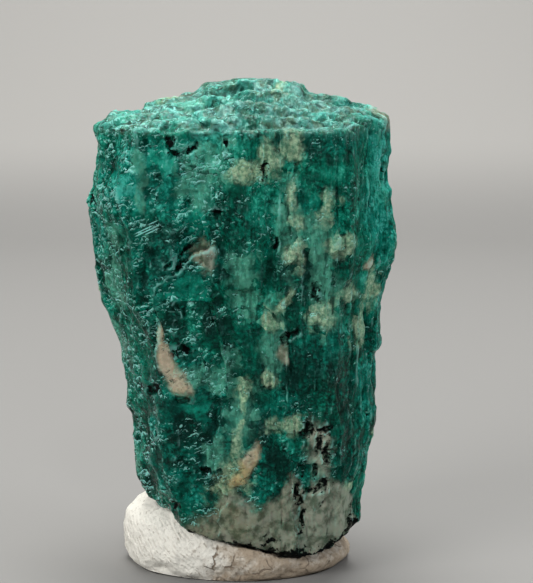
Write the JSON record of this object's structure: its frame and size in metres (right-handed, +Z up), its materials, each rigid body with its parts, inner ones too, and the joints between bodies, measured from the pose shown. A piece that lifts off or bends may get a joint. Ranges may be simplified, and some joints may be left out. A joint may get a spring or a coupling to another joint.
{
  "type": "raw emerald crystal",
  "caption": "Raw six-sided emerald crystal with feldspar and mica grown into it, held upright in a pad of white display putty.",
  "frame": {"origin": "on the surface that the pad stands on, under the middle of the whole object's box", "axes": "+Z up along the crystal's length, the crystal's broad front face looks along -Y, +X to its right as seen from the front"},
  "size_m": [0.0334, 0.0244, 0.0531],
  "materials": {
    "emerald": "rough crystal faces with a glassy sparkle, cream feldspar patches and black mica flakes",
    "putty": "matt white putty marked by fingertips"
  },
  "bodies": {
    "root": {"emerald_crystal": "emerald", "putty_pad": "putty"}
  },
  "joints": []
}
